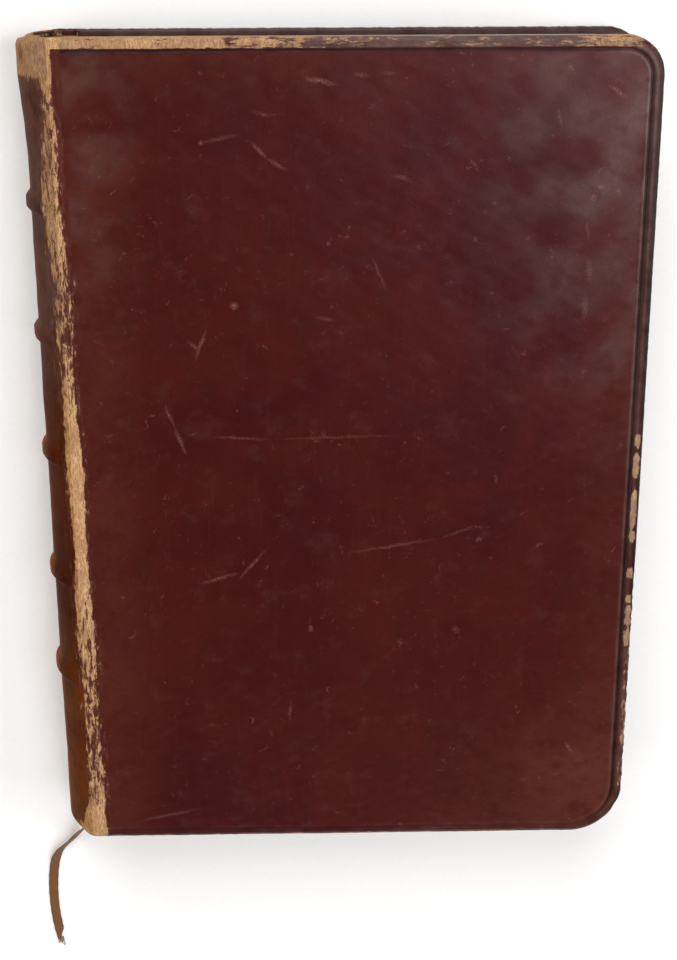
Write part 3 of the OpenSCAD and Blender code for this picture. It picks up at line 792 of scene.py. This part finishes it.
def cover_leather(front):
    """The covering leather of one cover and its joint, from the joint's spine side to the turn-ins."""
    x_end = fore_x - edge_round
    y_end = cover_h / 2 - edge_round
    fine = np.arange(0, 5.4, 0.3)
    xs = np.concatenate([np.linspace(joint_x, cover_x + 2, 15),
                         np.linspace(cover_x + 2, x_end - 5.4, 172)[1:], (x_end - fine)[::-1]])
    ys = np.concatenate([fine - y_end, np.linspace(5.4 - y_end, y_end - 5.4, 262)[1:-1],
                         (y_end - fine)[::-1]])
    xs, ys = np.unique(np.round(xs, 5)), np.unique(np.round(ys, 5))
    gx, gy = np.meshgrid(xs, ys, indexing="ij")
    r = np.where(gy > 0, head_corner_r, tail_corner_r) - edge_round
    x, y, out_x, out_y, inward, turn = (part.ravel() for part in round_corners(gx, gy, x_end, y_end, r))
    inward = inward + edge_round
    on_board = smooth(cover_x - 1.0, cover_x + 1.5, x)
    # Tooled border: a bead and a channel along the fore-edge, one blind line along head and tail
    at_fore = 0.24 * hump(inward, bead_in, 0.35) - 0.46 * hump(inward, channel_in, 0.45)
    at_fore += 0.16 * hump(inward, ridge_in, 0.6)
    at_end = -0.20 * hump(inward, head_line_in, 0.4) * (y > 0) - 0.05 * hump(inward, 3.2, 0.5) * (y < 0)
    ended = np.where(y < 0, smooth(0.0, 0.6, turn), turn)
    rise = ((1 - ended) * at_fore + ended * at_end) * on_board
    rise -= 0.10 * smooth(3.4, 1.4, inward)
    seed = 21 if front else 22
    rise += 0.10 * waves(x, y, seed, 90) + 0.03 * waves(x, y, seed + 10, 14)
    rise += 0.05 * smooth(6, 1, inward) * waves(x, y, seed + 20, 7)
    rise = rise * smooth(joint_x, joint_x + 2.4, x)
    rise -= 0.35 * np.clip(1 - (x - joint_x) / 2.4, 0, 1) ** 2
    rise -= 0.12 * hump(x, cover_x - 0.9, 1.0)
    fields = [cover_field(x, y, inward, turn, np.zeros(x.size), front)]
    points = [np.stack([x, y, rise], axis=1)]
    border = grid_border(len(xs), len(ys), closed=False)
    bx, by, nx, ny, bt, bz = (part[border] for part in (x, y, out_x, out_y, turn, rise))
    on_edge = smooth(cover_x - 0.5, cover_x + 0.5, bx)
    board_rows, strip_rows = edge_rows(cover_depth), edge_rows(strip_depth)
    # Edges are nicked where the leather has worn through to the board
    ragged = 0.18 * np.abs(waves(bx, by, seed + 30, 9)) + 0.12 * np.abs(waves(bx, by, seed + 31, 3.5))
    worn_low = smooth(-28, -50, by) * smooth(0.6, 0.3, bt) if front else 0.25
    nick = ragged * (0.25 + 1.3 * worn_low)
    pleat = np.sin(bt * math.pi * 9) ** 2 * smooth(0.02, 0.15, bt) * smooth(0.98, 0.85, bt)
    rows = [border]
    total = len(points[0])
    for k in range(len(board_rows)):
        d = board_rows[k, 0] * on_edge + strip_rows[k, 0] * (1 - on_edge)
        drop = board_rows[k, 1] * on_edge + strip_rows[k, 1] * (1 - on_edge)
        over = smooth(1.6, 0.3, d)
        step = edge_round - d - nick * over * smooth(0.0, 1.2, drop)
        px, py = bx + nx * step, by + ny * step
        under = k >= len(board_rows) - 6
        z = bz * smooth(1.4, 0.0, drop) - drop + (0.14 * pleat * smooth(1.0, 4.0, d) if under else 0.0)
        points.append(np.stack([px, py, z], axis=1))
        here = cover_field(px, py, np.where(under, 2.0, d), bt, drop, front)
        if under:
            here["wear"] = here["wear"] * 0 + 0.12 + 0.15 * pleat
        fields.append(here)
        rows.append(total + np.arange(len(border)))
        total += len(border)
    points = np.concatenate(points)
    fields = {field: np.concatenate([part[field] for part in fields]) for field in fields[0]}
    faces = np.concatenate([grid_faces(len(xs), len(ys)), strip_faces(rows, False, True)])
    points[:, 2] = full_t + points[:, 2] if front else np.maximum(-points[:, 2], 0)
    if not front:
        faces = faces[:, ::-1]
    name = "front" if front else "back"
    piece = make_piece(name + "_cover_calf", points, faces, [cover_calf], **fields)
    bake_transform(piece)
    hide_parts(name + "_cover_leather", name + "_joint_leather")


cover_leather(True)
cover_leather(False)

# ---- Spine leather ----
# The spine's share of the same skin is drawn tight over the five bands and folded down
# into a cap over each endband. Light has turned it brown, and orange where it faces out.

spine_calf = calf("calf_faded_brown_rubbed", linear("#3c1604"), linear("#4c1e07"), linear("#8a4c16"),
                  linear("#4a2810"), linear("#c29868"), linear("#8a5d38"), 0.55, 0.02, 1.4)

band_half_top = 1.2
band_half_base = 3.4
cap_round = 3.2
cap_fall = 3.0
band_ys = [float(sum(b[1] for b in box_mm(f"raised_cord_{i}")) / 2) for i in range(1, 6)]


def cap_rows():
    """The cap's rows past the spine's grid: how far in from the end and how far below the spine each lies."""
    start = math.asin(1 - edge_round / cap_round)
    rows = [(cap_round * (1 - math.sin(a)), cap_fall * (1 - math.cos(a)))
            for a in np.linspace(start, math.pi / 2, 7)[1:]]
    rows += [(0.05, 3.2), (0.22, 3.38), (0.42, 3.42), (0.56, 3.30)]
    rows += [(0.60, z) for z in (3.0, 2.6, 2.3, 2.0, 1.8, 1.6, 1.4)]
    return np.array(rows)


phi_end = math.asin(full_t / 2 / spine_r)
phis = np.linspace(-phi_end, phi_end, 72)
half_h = cover_h / 2
spine_ys = np.linspace(-(half_h - edge_round), half_h - edge_round, 331)
gphi, gy = np.meshgrid(phis, spine_ys, indexing="ij")
height = spine_cz + spine_r * np.sin(gphi)
from_joint = np.minimum(height, full_t - height)
fading_band = smooth(0.3, 5.5, from_joint)
rise = np.zeros_like(gy)
for y in band_ys:
    rise = np.maximum(rise, band_proud * smooth(band_half_base, band_half_top, np.abs(gy - y)) * fading_band)
capped = smooth(0.02, 0.34, phi_end - np.abs(gphi))
inward = half_h - np.abs(gy)
curve = 1 - np.clip(inward / cap_round, 0, 1)
fall = cap_fall * (1 - np.sqrt(np.clip(1 - curve ** 2, 0, 1)))
rise -= capped * fall
uneven = 0.05 * waves(gphi * 20, gy, 51, 22) + 0.06 * waves(gphi * 20, gy, 52, 60)
rise += uneven * smooth(0.02, 0.2, phi_end - np.abs(gphi))
# The head of the spine swells a little behind the cap
rise += 1.5 * smooth(90, 119, gy) * capped
# A dint in the head cap beside the front joint
rise -= 0.5 * np.exp(-(((gphi - 0.62) / 0.12) ** 2) - ((inward - 3.6) / 1.6) ** 2)


def on_spine(phi, reach, y):
    """Points at an angle round the spine, a distance from its axis and a Y; eased into the joints."""
    x = spine_cx - reach * np.cos(phi)
    z = spine_cz + reach * np.sin(phi)
    ease = 0.35 * np.clip(1 - (joint_x - x) / 2.4, 0, 1) ** 2
    z = z - np.sign(phi) * ease
    return np.stack([x, np.broadcast_to(y, x.shape), z], axis=-1)


grid = on_spine(gphi, spine_r + rise, gy)
points = [grid.reshape(-1, 3)]
rows_of_end = []
total = len(points[0])
strip_rows, caps = edge_rows(strip_depth), cap_rows()
for side in (-1, 1):
    first = np.arange(len(phis)) * len(spine_ys) + (0 if side < 0 else len(spine_ys) - 1)
    rows = [first]
    share = capped[:, 0]
    for k in range(len(strip_rows)):
        d = strip_rows[k, 0] * (1 - share) + caps[k, 0] * share
        drop = strip_rows[k, 1] * (1 - share) + caps[k, 1] * share
        vertical = 1 - share
        reach = spine_r - drop * share
        row = on_spine(phis, reach, side * (half_h - d))
        row[:, 2] -= np.sign(phis) * drop * vertical
        points.append(row)
        rows.append(total + np.arange(len(phis)))
        total += len(phis)
    rows_of_end.append(rows)
points = np.concatenate(points)
faces = np.concatenate([grid_faces(len(phis), len(spine_ys)), strip_faces(rows_of_end[0], False, True),
                        strip_faces(rows_of_end[1], False)])
x, y, z = points.T
on_front = smooth(16, 21, z)
wear = joint_bare(x, y) * on_front
wear = np.maximum(wear, 1.0 * smooth(111.5, 116.5, y) * smooth(9, 20, z))
wear = np.maximum(wear, 0.9 * smooth(-119.5, -122.5, y) * smooth(26, 32, z))
rubbed = 0.52 * smooth(-1.0, 0.6, x - joint_x + 1.15) * (1 - on_front)
wear = np.maximum(wear, rubbed * (0.9 + 0.2 * waves(y, z, 61, 60)))
wear = np.maximum(wear, 0.55 * smooth(half_h - 3.0, half_h - 0.6, np.abs(y)))
ridge = np.zeros_like(y)
for band in band_ys:
    ridge = np.maximum(ridge, hump(y, band, 1.5))
wear = np.maximum(wear, 0.34 * ridge * smooth(spine_cx - spine_r - 0.2, spine_cx - spine_r - 1.2, x))
facing_out = smooth(spine_cx - spine_r + 2.2, spine_cx - spine_r - 0.3, x)
fade = facing_out * np.interp(y, [-125, 0, 12, 125], [0.9, 0.8, 0.25, 0.2]) + 0.2 * smooth(-40, -70, y)
# A painted grey sheen over the head half of the spine and on the head cap; the patchy darkening after it is
# dirt
burnish = 0.27 * smooth(8, 55, y) + 0.25 * hump(y, 120, 5) * smooth(24, 30, z)
grime = 0.5 * waves(y, z * 2, 71, 30) * smooth(0.2, 1.2, waves(y, z * 2, 72, 18))
ends = smooth(114, 118, np.abs(y))
spine_piece = make_piece("spine_calf", points, faces, [spine_calf], wear=wear, fade=np.clip(fade, 0, 1),
                         burnish=burnish, grime=np.clip(grime, 0, 0.4), ends=ends)
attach(spine_piece, "text_block")
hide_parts("spine_leather")

# ---- Inner joints ----
# A pared strip of the same leather runs from the gutter up the shoulder and onto the
# inside of each board.

inner_rows = [(1.95, 29.62), (0.75, 29.64), (0.05, 29.8), (-0.23, 30.3), (-0.26, 31.5), (-0.27, 32.8),
              (-0.27, 33.9), (-0.27, 34.3)]
inner_rows += [(-0.27 + 0.24 * t, 34.34 + 0.05 * math.sin(math.pi * t)) for t in np.linspace(0.02, 0.98, 26)]
inner_rows += [(-0.03, 34.30), (-0.03, 33.5), (-0.03, 32.4), (-0.03, 31.4), (-0.01, 30.9), (0.15, 30.74),
               (0.95, 30.72), (2.65, 30.73), (4.25, 30.76)]
inner_rows = np.array(inner_rows)
inner_ys = np.linspace(-block_h / 2 + 0.4, block_h / 2 - 0.4, 60)
for name, front in (("front", True), ("back", False)):
    gi, gy = np.meshgrid(np.arange(len(inner_rows)), inner_ys, indexing="ij")
    x, z = cover_x + inner_rows[gi, 0], inner_rows[gi, 1]
    if not front:
        z = full_t - z
    points = np.stack([x, gy, z], axis=-1).reshape(-1, 3)
    faces = grid_faces(*gi.shape, 0, not front)
    wear = 0.30 + 0.10 * waves(points[:, 1], points[:, 2] * 6, 81, 40)
    piece = make_piece(name + "_inner_joint", points, faces, [cover_calf], wear=wear,
                       fade=np.full(len(points), 0.5))
    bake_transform(piece)

# ---- Pastedowns and free leaves ----
# A sheet of plain paper is pasted inside each cover over the turn-ins. One free leaf
# follows it at the front, then the title leaf; the back has one free leaf.

endpaper = paper("rag_paper_pasted_plain", linear("#d3c4a0"), linear("#b59c72"), linear("#8d7350"), False)
for name in ("front_pastedown", "back_pastedown"):
    give_finish(name, endpaper)
leaf_paper = paper("rag_paper_leaf_plain", linear("#d8caa8"), linear("#baa277"), linear("#7a6246"))
leaf_root = 0.3
leaf_tuck = 0.2
leaf_half_t = 0.09
for name in ("front_flyleaf", "title_leaf", "back_flyleaf"):
    low, high = box_mm(name)
    middle = (low[2] + high[2]) / 2
    lines = sheet_lines(low[0] + leaf_root, high[0], block_h / 2, block_corner_r)
    in_gutter = np.linspace(low[0] - leaf_tuck, low[0] + leaf_root, 25)[:-1]
    lines = (np.concatenate([in_gutter, lines[0]]), lines[1])
    points, dust, rows, total = [], [], [], 0
    count = len(lines[0]), len(lines[1])
    border = grid_border(*count)
    for z in (middle - leaf_half_t, middle + leaf_half_t):
        gx, gy = np.meshgrid(lines[0], lines[1], indexing="ij")
        x, y, out_x, out_y, inward, turn = round_corners(gx, gy, lines[0][-1], lines[1][-1], block_corner_r)
        lift = 0.07 * waves(x, y, 90 + int(low[2] * 10), 70) * smooth(low[0], low[0] + 15, x)
        points.append(np.stack([x, y, z + lift], axis=-1).reshape(-1, 3))
        dust.append(0.45 * np.exp(-inward.ravel() / 4))
        rows.append(total + border)
        total += len(points[-1])
    faces = np.concatenate([grid_faces(*count, 0, True), strip_faces(rows, True),
                            grid_faces(*count, len(points[0]))])
    piece = make_piece(name + "_sheet", np.concatenate(points), faces, [leaf_paper], sharp=60,
                       dust=np.concatenate(dust))
    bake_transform(piece)
    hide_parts(name)

# ---- Ribbon marker ----
# A narrow woven silk tape, glued in at the head of the spine and laid between two
# sections. Its free end leaves the tail, falls twisting to the table and ends frayed.

ribbon_w = 3.2
ribbon_t = 0.35
ribbon_low, ribbon_high = box_mm("ribbon_in_block")
exit_point = np.array([(ribbon_low[0] + ribbon_high[0]) / 2, ribbon_low[1],
                       (ribbon_low[2] + ribbon_high[2]) / 2])
fall = exit_point[2] - 0.35
steps = np.array([
    (0, 0, 0), (0, -3, 0.006), (-0.2, -6, 0.063), (-0.7, -9, 0.19), (-1.5, -12, 0.374), (-2.6, -15, 0.58),
    (-4.1, -18, 0.776), (-6, -21, 0.908), (-8.2, -23.6, 0.971), (-10.4, -25.6, 0.994), (-12.6, -28, 1),
    (-14.2, -31.4, 1), (-15.1, -35.5, 1), (-15.7, -41, 1), (-15.9, -47.5, 1), (-15.6, -54, 1),
    (-14.9, -59.5, 1), (-13.9, -64.5, 1)])
route = np.stack([exit_point[0] + steps[:, 0], exit_point[1] + steps[:, 1],
                  exit_point[2] - steps[:, 2] * fall], axis=1)


def through(points, per_step):
    """A smooth line through the points, with so many places to each step."""
    made = []
    for i in range(len(points) - 1):
        a, b, c, d = (points[min(max(k, 0), len(points) - 1)] for k in (i - 1, i, i + 1, i + 2))
        for t in np.arange(per_step) / per_step:
            made.append(0.5 * (2 * b + (c - a) * t + (2 * a - 5 * b + 4 * c - d) * t ** 2
                               + (3 * b - a - 3 * c + d) * t ** 3))
    return np.array(made + [points[-1]])


silk, tree, surface = new_material("silk_ribbon_woven_faded")
place = add(tree, "Attribute", attribute_name="rest", out="Vector")
across = add(tree, "Attribute", attribute_name="across", out="Fac")
along = add(tree, "Attribute", attribute_name="along", out="Fac")
# Ribs of weft 0.45 mm apart run across; eleven warp lines run along the 3.2 mm width
weft = add(tree, "Math", along, 2 * math.pi / 0.45, operation="MULTIPLY")
weft = add(tree, "Math", weft, operation="SINE")
warp = add(tree, "Math", across, 2 * math.pi * 11 / 2, operation="MULTIPLY")
warp = add(tree, "Math", warp, operation="SINE")
warp = add(tree, "Math", warp, 0.5, operation="MULTIPLY")
threads = add(tree, "Math", weft, warp, operation="ADD")
ribbed = add(tree, "MapRange", threads, -1.2, 1.3)
colour = add(tree, "Mix", ribbed, linear("#53331a"), linear("#8a5c30"))
soil = add(tree, "TexNoise", place, Scale=every(6), Detail=4, Roughness=0.55)
soiled = add(tree, "MapRange", soil, 0.35, 0.7)
colour = add(tree, "Mix", soiled, colour, linear("#6c4624"))
off_middle = add(tree, "Math", across, operation="ABSOLUTE")
selvedge = add(tree, "MapRange", off_middle, 0.72, 0.95, 0.0, 0.45)
colour = add(tree, "Mix", selvedge, colour, linear("#553419"))
bump = add(tree, "Bump", Height=threads, Distance=0.00006, Strength=0.5)
shader = add(tree, "BsdfPrincipled", Base_Color=colour, Roughness=0.55, IOR=1.5, Normal=bump,
             Specular_IOR_Level=0.25, Sheen_Weight=0.06)
tree.links.new(shader, surface)
give_finish("ribbon_in_block", silk)

centres = through(route, 8)
tangents = np.gradient(centres, axis=0)
tangents /= np.linalg.norm(tangents, axis=1)[:, None]
run = np.concatenate([[0], np.cumsum(np.linalg.norm(np.diff(centres, axis=0), axis=1))])
ribbon_length = run[-1]
# It rolls nearly on edge as it falls and lies flat again on the table
roll = math.radians(58) * smooth(1.0, 9.0, run) * smooth(46.0, 33.0, run)
roll += math.radians(6) * np.sin(run / 5.5)
roll *= smooth(0.0, 2.0, run)
level = np.cross(tangents, [0, 0, 1.0])
level /= np.linalg.norm(level, axis=1)[:, None]
upward = np.cross(level, tangents)
wide = level * np.cos(roll)[:, None] + upward * np.sin(roll)[:, None]
thick = np.cross(wide, tangents)
# Nowhere does its lower edge go under the table
lower_edge = np.abs(wide[:, 2]) * ribbon_w / 2 + np.abs(thick[:, 2]) * ribbon_t / 2 + 0.03
centres[:, 2] = np.maximum(centres[:, 2], lower_edge)
section = [(-1, -0.25), (-1, 0.25), (-0.9, 0.5), (-0.45, 0.42), (0, 0.42), (0.45, 0.42), (0.9, 0.5),
           (1, 0.25), (1, -0.25), (0.9, -0.5), (0.45, -0.42), (0, -0.42), (-0.45, -0.42), (-0.9, -0.5)]
points, across, along, rings = [], [], [], []
for i in range(len(centres)):
    # The end is cut at a slant and has narrowed where threads came out
    left = ribbon_length - run[i]
    cut = 1.0 - 0.62 * float(smooth(5.0, 0.0, np.array(left)))
    width = ribbon_w / 2 * cut * (1 + 0.03 * math.sin(run[i] * 1.7))
    rings.append(np.arange(len(section)) + len(points))
    for s, t in section:
        lean = 0.5 * (1 - cut) * ribbon_w
        points.append(centres[i] + wide[i] * (s * width + lean) + thick[i] * t * ribbon_t)
        across.append(s)
        along.append(run[i])
faces = strip_faces(rings, True).tolist() + [rings[0][::-1].tolist(), rings[-1].tolist()]
strands = np.random.default_rng(77)
for k in range(9):
    # Loose threads at the cut end
    start = centres[-1] + wide[-1] * strands.uniform(-0.3, 1.4) + [0, 0.8, 0]
    heading = tangents[-1] + [strands.uniform(-0.35, 0.35), 0, 0]
    reach = strands.uniform(1.8, 4.2)
    line = [start + heading * s + [0.3 * math.sin(s * 1.3 + k), 0, 0] for s in np.linspace(0, reach, 9)]
    rows = []
    for place_of in line:
        rows.append(np.arange(5) + len(points))
        for j in range(5):
            a = 2 * math.pi * j / 5
            points.append([place_of[0] + 0.11 * math.cos(a), place_of[1],
                           0.22 + 0.11 * math.sin(a) + 0.02 * k])
            across.append(0.2 * k - 0.8)
            along.append(ribbon_length)
    faces += strip_faces(rows, True).tolist() + [rows[0][::-1].tolist(), rows[-1].tolist()]
ribbon = make_piece("ribbon_tail", points, faces, [silk], sharp=70, across=across, along=along)
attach(ribbon, "text_block")
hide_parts("ribbon_marker")
